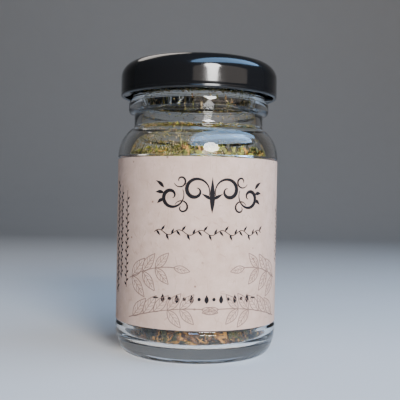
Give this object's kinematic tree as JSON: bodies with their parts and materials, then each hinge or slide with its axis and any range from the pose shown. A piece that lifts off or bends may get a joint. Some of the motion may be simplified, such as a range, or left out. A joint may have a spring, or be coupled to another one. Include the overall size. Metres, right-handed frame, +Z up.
{
  "type": "spice jar of dried tarragon",
  "caption": "Small round clear glass spice jar filled with dried tarragon leaf, with a wrap-around kraft paper label and a black twist-off lid.",
  "frame": {"origin": "centre of the jar's stand ring, on the surface it stands on", "axes": "+Z up along the jar's axis, -Y towards the front of the label, +X to the label's right as it is read"},
  "size_m": [0.052, 0.052, 0.0933],
  "materials": {
    "clear_glass": "clear, polished",
    "kraft_label_paper": "uncoated, with fibres and small dark flecks",
    "dried_tarragon_leaf": "dry crushed leaf, matt",
    "black_lacquered_tinplate": "gloss black lacquer",
    "plastisol": "matt"
  },
  "bodies": {
    "jar": {"glass_jar": "clear_glass", "paper_label": "kraft_label_paper", "dried_tarragon": "dried_tarragon_leaf"},
    "seal": {"lid_seal": "plastisol"},
    "lid": {"lid_shell": "black_lacquered_tinplate"}
  },
  "joints": [
    {"name": "lid_rise", "type": "slide", "parent": "jar", "child": "seal", "axis": [0, 0, 1], "range_m": [0, 0.0015]},
    {"name": "lid_turn", "type": "hinge", "parent": "seal", "child": "lid", "pos_m": [0, 0, 0.088], "axis": [0, 0, 1], "range_deg": [0, 60]}
  ],
  "couplings": [
    {"joint": "lid_rise", "follows": "lid_turn", "m_per_rad": 0.0014324}
  ]
}
